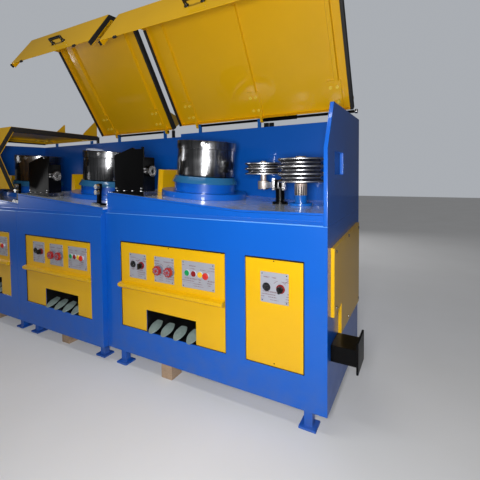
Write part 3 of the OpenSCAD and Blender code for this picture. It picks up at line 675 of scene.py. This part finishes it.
blue = enamel("blue_enamel", srgb(8, 93, 195), 0.34)
post_blue = enamel("post_enamel", srgb(14, 96, 184), 0.32)
# A darker teal for the cone rings of the drum bases: a painted reflection of the dark drums.
ring_reflection_teal = enamel("ring_reflection_enamel", srgb(40, 104, 150), 0.22)
yellow = enamel("yellow_enamel", srgb(234, 181, 2), 0.36)
# A lighter copy of the yellow for the hood bolts, which share the hoods' paint: a painted
# highlight.
bolt_highlight_yellow = enamel("bolt_highlight_enamel", srgb(250, 214, 70), 0.22)
# A paler blue for the benches' folds: a painted highlight.
fold_highlight_blue = enamel("fold_highlight_enamel", srgb(90, 150, 226), 0.28)
steel_top = worktop_paint()
# The fourth number of each steel sets the strength of its painted reflection streaks.
sheave_steel = turned_steel("sheave_steel", (0.33, 0.33, 0.34, 1), 0.15, 0.2, 0.16)
drum_steel = turned_steel("drum_steel", (0.30, 0.30, 0.31, 1), 0.0, 0.9, 0.10)
nut_steel = turned_steel("nut_steel", (0.13, 0.13, 0.13, 1), 0.3, 0.5, 0.2)
worn_steel = turned_steel("worn_steel", (0.22, 0.20, 0.19, 1), 0.9)
bright_steel = turned_steel("bright_steel", (0.66, 0.66, 0.67, 1), 0.1, 0.6)
black = black_paint()
# Near-black for recesses: painted shade in the foot recesses and behind the yellow panels.
painted_shade_black = enamel("painted_shade_enamel", srgb(13, 13, 16), 0.5, 0.2)
plate = switch_plate_finish()
seal = rubber()
tread = hammered("pedal_paint", srgb(142, 160, 156))
dark_plastic = moulded("dark_plastic", srgb(14, 14, 16))
# Flat white in place of chrome for the bezels: a painted highlight of their glints.
painted_glint_white = moulded("painted_glint_white", srgb(214, 218, 224), 0.3)
dial_grey = moulded("dial_grey", srgb(128, 134, 150), 0.4)
red_plastic = moulded("red_plastic", srgb(208, 44, 34), 0.22)
knob_red = moulded("knob_red", srgb(168, 34, 36), 0.25)
dark_red_plastic = moulded("dark_red_plastic", srgb(140, 28, 30), 0.22)
green_plastic = moulded("green_plastic", srgb(22, 150, 84), 0.22)
yellow_plastic = moulded("yellow_plastic", srgb(236, 190, 40), 0.22)
wood = timber()


# Housing


CONTROL_PANELS = [(bay, PANEL_SPAN[bay], PANEL_TOP[bay]) for bay in BAYS]
ACCESS_PANEL = [("end", ACCESS_SPAN, PANEL_TOP["end"])]
PANEL_GAP_RIGHT = 0.0075
PANEL_GAP_TOP = 0.0095
PANEL_SCREW_IN = 0.016
PANEL_SCREW_FACE = 0.009
GUARD_FACE = 1.518
GUARD_SCREWS = ((0.10, 0.90), (0.10, 0.62), (0.42, 0.93), (0.76, 0.93), (0.76, 0.46), (0.42, 0.46))


def in_foot_space(bay):
    """Tests for the inner faces of a bay's foot recess."""
    low = bay_point(bay, FOOT_SPAN[0], BAY_Y[bay], PANEL_BOTTOM)
    high = bay_point(bay, FOOT_SPAN[1], 1, FOOT_TOP)

    def test(centre, normal):
        between = low.x - 0.002 < centre.x < high.x + 0.002
        level = low.z - 0.002 < centre.z < high.z + 0.002
        return between and level and centre.y > low.y + 0.03
    return test


def behind_panel(bay, span, top):
    """Tests for the walls and floor of the shallow recess behind a yellow panel."""
    low = bay_point(bay, span[0] - 0.001, BAY_Y[bay] + 0.0026, PANEL_BOTTOM - 0.001)
    high = bay_point(bay, span[1] + 0.001, BAY_Y[bay] + 0.0155, top + 0.001)
    return lambda centre, normal: all(low[i] < centre[i] < high[i] for i in range(3))


def on_fold(centre, normal):
    """Tests for the rounded edge between the benches' fronts and their lips."""
    on_edge = any(
        abs(centre.z - FOLD_HEIGHT - BAY_Z[bay]) < 0.004
        and abs(centre.y + FOOT_Y - BAY_Y[bay]) < 0.004
        for bay in BAYS
    )
    return on_edge and -0.99 < normal.y < -0.72


def right_edge(bay, x):
    """Tests for faces that look to the right at a place along a bay."""
    edge = bay_point(bay, x, 0, 0).x
    return lambda centre, normal: normal.x > 0.9 and abs(centre.x - edge) < 0.002


def top_edge(bay, span, top):
    """Tests for faces that look up at a height, within a span along a bay."""
    left, right = (bay_point(bay, x, 0, 0).x for x in span)

    def test(centre, normal):
        between = left - 0.01 < centre.x < right + 0.01
        return between and normal.z > 0.9 and abs(centre.z - top) < 0.002
    return test


def moved_faces(piece, step, test):
    """Moves the faces that pass the test by a step."""
    faces_where(piece, test)
    bpy.ops.transform.translate(value=step)
    bpy.ops.object.mode_set(mode="OBJECT")


def shrunk(panels):
    """Draws in the panels' right and top edges, for a dark gap onto the recess, whose walls are
    painted black as shade.
    """
    def reshape(piece):
        for bay, span, top in panels:
            moved_faces(piece, (-PANEL_GAP_RIGHT, 0, 0), right_edge(bay, span[1]))
            moved_faces(piece, (0, 0, -PANEL_GAP_TOP), top_edge(bay, span, top))
    return reshape


def make_housing():
    end = softened("end_bench", 0.0030, blue)
    standard = softened("standard_benches", 0.0030, blue)
    # Painted shade: the inner faces of the foot recesses, and the walls and floors of the recesses
    # behind the panels, are painted black.
    for bay, bench in zip(BAYS, (end, standard, standard)):
        painted(bench, painted_shade_black, in_foot_space(bay))
    for bay, span, top in CONTROL_PANELS + ACCESS_PANEL:
        painted(end if bay == "end" else standard, painted_shade_black, behind_panel(bay, span, top))
    # Painted highlight: the rounded fold under each lip is a paler blue, for the light that it
    # catches.
    for bench in (end, standard):
        painted(bench, fold_highlight_blue, on_fold)
    for node in ("back_walls", "right_side_wall", "left_side_wall", "feet"):
        softened(node, 0.0025, blue)
    tops = softened("worktops", 0.003, steel_top)
    painted(tops, blue, lambda centre, normal: normal.y < -0.3)
    softened("control_panels", 0.0012, yellow, shrunk(CONTROL_PANELS))
    softened("access_panel", 0.0012, yellow, shrunk(ACCESS_PANEL))
    softened("side_guard", 0.0012, yellow)
    softened("packing_blocks", 0.003, wood)
    softened("junction_box", 0.002, black)


def make_panel_screws():
    """Small countersunk screws in the middle of the panels' edges."""
    screw = round_piece(
        "panel_screws", 0.0035, 0.0018, black, 20, 0.0006, [(0.0012, 0.0), (0.0006, -0.0008)]
    )
    places = [
        front_of(bay, sum(span) / 2, top - PANEL_SCREW_IN, PANEL_SCREW_FACE)
        for bay, span, top in CONTROL_PANELS + ACCESS_PANEL
    ]
    low = PANEL_BOTTOM + PANEL_SCREW_IN
    places.append(front_of("end", sum(ACCESS_SPAN) / 2, low, PANEL_SCREW_FACE))
    fixed(placed(screw, places), "housing")


def make_guard_screws():
    """Hexagon screws round the guard on the end wall."""
    screw = round_piece(
        "guard_screws", 0.009, 0.005, bright_steel, 6, 0.001, [(0.003, 0.0), (0.001, -0.001)]
    )
    places = [facing(bay_point("end", GUARD_FACE, y, z), (1, 0, 0)) for y, z in GUARD_SCREWS]
    fixed(placed(screw, places), "housing")


# Controls


# Switch plates by their left edge and width, and what stands on them, along a bay
SWITCH_PLATES = {
    "end": ((0.212, 0.143), (0.425, 0.153), (0.640, 0.228), (1.151, 0.154)),
    "middle": ((0.212, 0.143), (0.425, 0.153), (0.641, 0.200)),
    "far": ((0.212, 0.143), (0.425, 0.153), (0.641, 0.200)),
}
SWITCH_PLATE_SPAN = (0.621, 0.781)
SOCKET_PLATE_CUT = 0.018
PLATE_SCREW_IN = 0.010
BUTTONS = {
    "end": (0.680, 0.727, 0.772),
    "middle": (0.676, 0.718, 0.758),
    "far": (0.676, 0.718, 0.758),
}
MUSHROOM = {"end": 0.818, "middle": 0.802, "far": 0.802}
BUTTON_HEIGHT = 0.710
ACCESS_HEIGHT = 0.702
VALVE_HEIGHT = 0.700
SOCKETS = [(bay, 0.245, BUTTON_HEIGHT) for bay in BAYS] + [("end", 1.185, ACCESS_HEIGHT)]
SELECTORS = [(bay, 0.312, BUTTON_HEIGHT) for bay in BAYS] + [("end", 1.258, ACCESS_HEIGHT)]
KNOBS = [(bay, x, VALVE_HEIGHT) for bay in BAYS for x in (0.450, 0.537)]
SELECTOR_SHIFT = 0.006
KNOB_SHIFT = 0.016
KNOB_FRONT = 0.0334
SPOKE_TURNS = (20, 80, 140)
PIN_CIRCLE = 0.0100
PIN_DEPTH = 0.0022


def near_control(bay, x, z, radius, out=0.0):
    """Tests for faces of a control: within a radius of its axis and standing out that far."""
    axis = bay_point(bay, x, BAY_Y[bay] + PLATE_FACE, z)

    def test(centre, normal):
        reach = math.hypot(centre.x - axis.x, centre.z - axis.z)
        return reach < radius and centre.y < axis.y - out
    return test


def resized(piece, place, radius, across, out, shift=0.0):
    """Scales the control within a radius across and out of its plate, and shifts it along."""
    bay, x, z = place
    faces_where(piece, near_control(bay, x, z, radius, -0.002))
    axis = bay_point(bay, x, BAY_Y[bay] + PLATE_FACE, z)
    bpy.ops.transform.resize(value=(across, out, across), center_override=axis)
    bpy.ops.transform.translate(value=(shift, 0, 0))
    bpy.ops.object.mode_set(mode="OBJECT")


def fitted_controls(piece):
    """Brings the controls to the widths and depths that they show on the plates."""
    for place in SOCKETS:
        resized(piece, place, 0.0315, 0.74, 0.30)
    for place in SELECTORS:
        resized(piece, place, 0.0205, 1.22, 1.0, SELECTOR_SHIFT)
    for bay in BAYS:
        for x in BUTTONS[bay]:
            resized(piece, (bay, x, BUTTON_HEIGHT), 0.018, 1.15, 0.75)
        resized(piece, (bay, MUSHROOM[bay], BUTTON_HEIGHT), 0.0255, 0.82, 0.62)
    for place in KNOBS:
        resized(piece, place, 0.0255, 1.22, 0.80, KNOB_SHIFT)


def narrowed_plates(piece):
    """Draws in the right edge of the plates at the sockets."""
    for bay, plates in SWITCH_PLATES.items():
        edge = sum(plates[0]) + SOCKET_PLATE_CUT
        moved_faces(piece, (-SOCKET_PLATE_CUT, 0, 0), right_edge(bay, edge))


def make_controls():
    softened("control_plates", 0.0006, plate, narrowed_plates)
    controls = softened("operator_controls", 0.0012, dark_plastic, fitted_controls)
    # Painted highlight: the bezels of the buttons and mushrooms, and the backs of the valve knobs,
    # are a flat white for the glints they show.
    for bay in BAYS:
        for x, colour in zip(BUTTONS[bay], (green_plastic, dark_red_plastic, yellow_plastic)):
            painted(controls, painted_glint_white, near_control(bay, x, BUTTON_HEIGHT, 0.020))
            painted(controls, colour, near_control(bay, x, BUTTON_HEIGHT, 0.0168, 0.0064))
        x = MUSHROOM[bay]
        painted(controls, painted_glint_white, near_control(bay, x, BUTTON_HEIGHT, 0.019))
        painted(controls, red_plastic, near_control(bay, x, BUTTON_HEIGHT, 0.026, 0.0130))
    for bay, x, z in SELECTORS:
        x += SELECTOR_SHIFT
        painted(controls, dark_red_plastic, near_control(bay, x, z, 0.026))
        painted(controls, dark_plastic, near_control(bay, x, z, 0.0185, 0.0095))
    for bay, x, z in KNOBS:
        x += KNOB_SHIFT
        painted(controls, painted_glint_white, near_control(bay, x, z, 0.032))
        painted(controls, knob_red, near_control(bay, x, z, 0.032, 0.0135))


def make_valve_dials():
    """Dial discs on the plates behind the valve knobs, and the knobs' hubs and spokes."""
    dial = round_piece(
        "valve_dials", 0.031, 0.003, dial_grey, 48, 0.0008, [(0.003, 0.0), (0.0006, -0.0008)]
    )
    backs = [front_of(bay, x + KNOB_SHIFT, z) for bay, x, z in KNOBS]
    fixed(placed(dial, backs), "housing")
    hollow = round_piece("knob_hollows", 0.0200, 0.0012, dial_grey, 40, 0.0004)
    hub = round_piece(
        "knob_hubs", 0.0080, 0.0050, knob_red, 32, 0.0012, [(0.0035, 0.0), (0.001, -0.0015)]
    )
    spoke = block("knob_spokes", (0.0045, 0.041, 0.0026), knob_red, 0.0006, [(0.001, 0.0004)])
    fronts = [front_of(bay, x + KNOB_SHIFT, z, PLATE_FACE - KNOB_FRONT) for bay, x, z in KNOBS]
    turned = [
        front @ Matrix.Rotation(math.radians(turn), 4, "Z")
        for front in fronts for turn in SPOKE_TURNS
    ]
    fixed(placed(hollow, fronts), "housing")
    fixed(placed(hub, fronts), "housing")
    fixed(placed(spoke, turned), "housing")


def make_plate_screws():
    """A screw in each corner of the switch plates."""
    screw = round_piece(
        "plate_screws", 0.0032, 0.0014, black, 16, 0.0005, [(0.0012, 0), (0.0006, -0.0006)]
    )
    low, high = SWITCH_PLATE_SPAN
    places = [
        front_of(bay, along, z)
        for bay, plates in SWITCH_PLATES.items()
        for x, width in plates
        for along in (x + PLATE_SCREW_IN, x + width - PLATE_SCREW_IN)
        for z in (low + PLATE_SCREW_IN, high - PLATE_SCREW_IN)
    ]
    fixed(placed(screw, places), "housing")


def make_socket_pins():
    """A ring of six round pins in each plug socket."""
    pin = round_piece("socket_pins", 0.0018, 0.004, bright_steel, 12, 0.0006, [(0.0006, 0.0008)])
    places = []
    for bay, x, z in SOCKETS:
        for number in range(6):
            angle = number * math.pi / 3
            across, up = PIN_CIRCLE * math.cos(angle), PIN_CIRCLE * math.sin(angle)
            places.append(front_of(bay, x + across, z + up, PLATE_FACE - PIN_DEPTH))
    fixed(placed(pin, places), "housing")


# Capstans and what stands on the worktop


WIRE_HOLE_UP = 0.033
WIRE_HOLE_TURN = math.radians(-64)
BUSH_SUNK = 0.0015
RING_LEVELS = (0.0955, 0.150)
DIE_BOX_SIDE_BOLTS = (0.128, 0.148)
DIE_BOX_TOE_BOLTS = (0.075, 0.140, 0.215, 0.290)
DIE_BOX_FRONT_BOLTS = (0.062, 0.290)
ROLLER_PLACE = (0.870, 0.100)
GUIDE_PAINT_TOP = 0.062
CLAMP_REACH = 0.033


def above_worktop(bay, low, high):
    """Tests for faces of one bay between two heights over the tilted worktop."""
    foot = on_worktop(bay, *DRUM_PLACE)
    up = foot.to_3x3() @ Vector((0, 0, 1))

    def test(centre, normal):
        rise = (centre - foot.translation).dot(up)
        return abs(centre.x - foot.translation.x) < 0.45 and low < rise < high
    return test


def make_capstans():
    bases = softened("drum_bases", 0.002, blue)
    for bay in BAYS:
        # Painted reflection: the cone ring between these heights is a darker teal, for the dark
        # drum above it.
        painted(bases, ring_reflection_teal, above_worktop(bay, *RING_LEVELS))
        softened(bay + "_drum", 0.002, drum_steel)


def make_wire_hole_rings():
    """Bright bushes in the drums' wire holes."""
    for bay in BAYS:
        bush = round_piece(
            bay + "_wire_bush", 0.016, 0.004, bright_steel, 32, 0.0012,
            [(0.0065, 0), (0.0002, -0.0035)],
        )
        place = (
            on_worktop(bay, *DRUM_PLACE, DRUM_SEAT + DRUM_HEIGHT + WIRE_HOLE_UP)
            @ Matrix.Rotation(WIRE_HOLE_TURN, 4, "Z")
            @ facing((RIM_RADIUS - BUSH_SUNK, 0, 0), (1, 0, 0))
        )
        fixed(placed(bush, [place]), bay + "_drum")


def on_nut(bay):
    """Tests for the nut on the right side of a bay's die box."""
    side = bay_point(bay, DIE_BOX_RIGHT, 0, 0).x
    return lambda centre, normal: abs(centre.x - side - 0.017) < 0.0165


def make_die_boxes():
    boxes = softened("die_boxes", 0.0018, black)
    for bay in BAYS:
        painted(boxes, nut_steel, on_nut(bay))
    softened("lubricant_boxes", 0.002, yellow)


def make_die_box_bolts():
    """Bolts through the die boxes' toes, and in their right sides and fronts."""
    bolt = round_piece(
        "die_box_bolts", 0.0075, 0.006, bright_steel, 6, 0.001, [(0.0025, 0), (0.0008, -0.001)]
    )
    places = []
    for bay in BAYS:
        toe = on_worktop(bay, 0.033, DIE_BOX_FRONT).translation.z + 0.008
        for x in DIE_BOX_TOE_BOLTS:
            places.append(Matrix.Translation(bay_point(bay, x, DIE_BOX_FRONT - 0.006, toe)))
        for up in DIE_BOX_SIDE_BOLTS:
            side = bay_point(bay, DIE_BOX_RIGHT, DIE_BOX_FRONT + 0.010, toe + up)
            places.append(facing(side, (1, 0, 0)))
        for x in DIE_BOX_FRONT_BOLTS:
            places.append(facing(bay_point(bay, x, DIE_BOX_FRONT, toe + 0.020), (0, -1, 0)))
    fixed(placed(bolt, places), "housing")


def behind_rollers(bay):
    """Tests for the post and plate behind the wire rollers on a bay's worktop."""
    x, y = ROLLER_PLACE
    post = on_worktop(bay, x, BAY_Y[bay] + y).translation
    return lambda centre, normal: abs(centre.x - post.x) < 0.06 and centre.y > post.y - 0.0135


def make_wire_parts():
    rollers = softened("wire_rollers", 0.0015, bright_steel)
    for bay in BAYS[1:]:
        painted(rollers, black, behind_rollers(bay))
    guide = softened("guide_post", 0.0015, post_blue)
    split = FOLD_HEIGHT + WORKTOP_LEVEL + GUIDE_PAINT_TOP
    cut(guide, (0, 0, split), (0, 0, 1))
    painted(guide, worn_steel, lambda centre, normal: centre.z > split)
    softened("tension_post", 0.0015, black)
    for node in ("guide_sheave", "tension_sheave"):
        softened(node, 0.0012, sheave_steel)
    arm = softened("tension_arm", 0.0015, bright_steel)
    reach = TENSION_ARM * math.cos(TENSION_ARM_REST)
    end = bay_point("end", TENSION_PIVOT[0] + reach, 0, 0).x
    painted(arm, worn_steel, lambda centre, normal: abs(centre.x - end) < 0.038)


def make_clamp():
    """Chromed clamp blocks with their bolts on the hub of the tension arm."""
    pivot_x, pivot_y = TENSION_PIVOT
    sides = (pivot_x - CLAMP_REACH, pivot_x + CLAMP_REACH)
    level = FOLD_HEIGHT + WORKTOP_LEVEL
    cheek = block(
        "clamp_cheeks", (0.016, 0.034, 0.078), bright_steel, 0.002, [(0.004, 0.0), (0.0015, -0.002)]
    )
    cheeks = placed(cheek, [
        Matrix.Translation(bay_point("end", x, pivot_y, level + 0.088)) for x in sides
    ])
    fixed(cheeks, "tension_arm")
    bolt = round_piece(
        "clamp_bolts", 0.008, 0.007, bright_steel, 6, 0.001, [(0.0028, 0), (0.0008, -0.001)]
    )
    bolts = placed(bolt, [
        facing(bay_point("end", x, pivot_y - 0.017, level + up), (0, -1, 0))
        for x in sides for up in (0.105, 0.148)
    ])
    fixed(bolts, "tension_arm")
    core = block("clamp_core", (0.046, 0.030, 0.050), black, 0.002, [(0.005, 0.004)])
    middle = Matrix.Translation(bay_point("end", pivot_x, pivot_y, level + 0.102))
    fixed(placed(core, [middle]), "tension_arm")


# Hoods, their hinges and seals


ROOF_UP = 0.015
SEAL_EDGE = 0.032
SEAL_EXTRA = 0.013
SEAL_LIP = 0.012
GUSSET_X = 0.923
GUSSET_SHIFT = 0.090
GUSSET_SIZE = (0.006, 0.165, 0.157)
GUSSET_SLOPE = ((0, 0.0705, 0.157), (0, -0.145, 0.153))
GUSSET_FORWARD = 0.026
HINGE_PLATES = {"end": (0.142, 0.755, 1.356), "middle": (0.143, 0.774), "far": (0.143, 0.774)}
HINGE_BOLT_ACROSS = (-0.022, 0.022)
HINGE_BOLT_FORWARD = (0.084, 0.186)
SHAFT_KNOB_X = 1.476


def deepened_seal(bay):
    """Draws the rubber strips of the roof out past the flanges' lips and turns them in below."""
    shut = hood_frame(bay).inverted()
    lip = ROOF_UP - SEAL_EDGE - SEAL_EXTRA / 2

    def reshape(piece):
        ends = [corner[0] for corner in piece.bound_box]
        middle = sum(ends) / len(ends)

        def strip(centre):
            return min(abs(centre.x - end) for end in ends) < 0.010

        def lower(centre, normal):
            return strip(centre) and (shut.to_3x3() @ normal).z < -0.9

        def inner(centre, normal):
            inward = abs(normal.x) > 0.9 and normal.x * (middle - centre.x) > 0
            return strip(centre) and inward and abs((shut @ centre).z - lip) < 0.003

        for test, depth in ((lower, SEAL_EXTRA), (inner, SEAL_LIP)):
            faces_where(piece, test)
            bpy.ops.mesh.extrude_region_shrink_fatten(
                TRANSFORM_OT_shrink_fatten={"value": depth}
            )
            bpy.ops.object.mode_set(mode="OBJECT")
    return reshape


def thinned_gusset(piece):
    """Takes the sides off the middle hood's right gusset, which leaves its rear edge and a fin."""
    shut = hood_frame("middle").inverted()
    left, right = (bay_point("middle", GUSSET_X + x, 0, 0).x for x in (-0.001, 0.007))
    faces_where(piece, lambda centre, normal: (
        left < centre.x < right and (shut @ centre).z > ROOF_UP + 0.0005
    ))
    bpy.ops.mesh.delete(type="FACE")
    bpy.ops.mesh.select_mode(type="EDGE")
    bpy.ops.mesh.select_non_manifold()
    bpy.ops.mesh.edge_face_add()
    bpy.ops.mesh.select_all(action="SELECT")
    bpy.ops.mesh.normals_make_consistent(inside=False)
    bpy.ops.object.mode_set(mode="OBJECT")


def make_gusset():
    """A whole gusset for the middle hood, further from its end than the thinned one."""
    gusset = block("middle_hood_gusset", GUSSET_SIZE, yellow, 0.0012)
    cut(gusset, GUSSET_SLOPE[0], GUSSET_SLOPE[1], away=True)
    forward = GUSSET_FORWARD + GUSSET_SIZE[1] / 2
    place = (
        hood_frame("middle", GUSSET_X - GUSSET_SHIFT)
        @ Matrix.Translation((0, -forward, ROOF_UP - 0.0005))
    )
    fixed(placed(gusset, [place]), "middle_hood")


def thicker_handle(piece):
    """Swells the handle to a full hand's grip."""
    faces_where(piece, lambda centre, normal: True)
    bpy.ops.transform.shrink_fatten(value=0.003)
    bpy.ops.object.mode_set(mode="OBJECT")


def make_hoods():
    for bay in BAYS:
        softened(bay + "_hood", 0.0012, yellow, thinned_gusset if bay == "middle" else None)
        softened(bay + "_hood_seal", 0.0030, seal, deepened_seal(bay))
        softened(bay + "_hood_handle", 0.0020, dark_plastic, thicker_handle)
        # Painted highlight: the bolts take a lighter yellow than the hood paint they share.
        bolt = round_piece(
            bay + "_hood_bolts", 0.0125, 0.009, bolt_highlight_yellow, 6, 0.0012,
            [(0.003, 0), (0.001, -0.001)],
        )
        bolts = placed(bolt, [
            hood_place(bay, x + across, forward, 0.003)
            for x in HINGE_PLATES[bay]
            for across in HINGE_BOLT_ACROSS for forward in HINGE_BOLT_FORWARD
        ])
        fixed(bolts, bay + "_hood")
    make_gusset()
    softened("hinge_posts", 0.0015, post_blue)
    shafts = softened("hinge_shafts", 0.0012, black)
    knob = bay_point("end", SHAFT_KNOB_X - 0.0005, 0, 0).x
    painted(shafts, bright_steel, lambda centre, normal: centre.x > knob)
    softened("limit_switches", 0.0018, dark_plastic)


def make_pedals():
    dress("pedal_stands", black)
    for bay in BAYS:
        for number in range(1, 5):
            softened(f"{bay}_pedal_{number}", 0.0028, tread)


make_housing()
make_panel_screws()
make_guard_screws()
make_controls()
make_valve_dials()
make_plate_screws()
make_socket_pins()
make_capstans()
make_wire_hole_rings()
make_die_boxes()
make_die_box_bolts()
make_wire_parts()
make_clamp()
make_hoods()
make_pedals()

bpy.context.scene.view_settings.view_transform = "Standard"
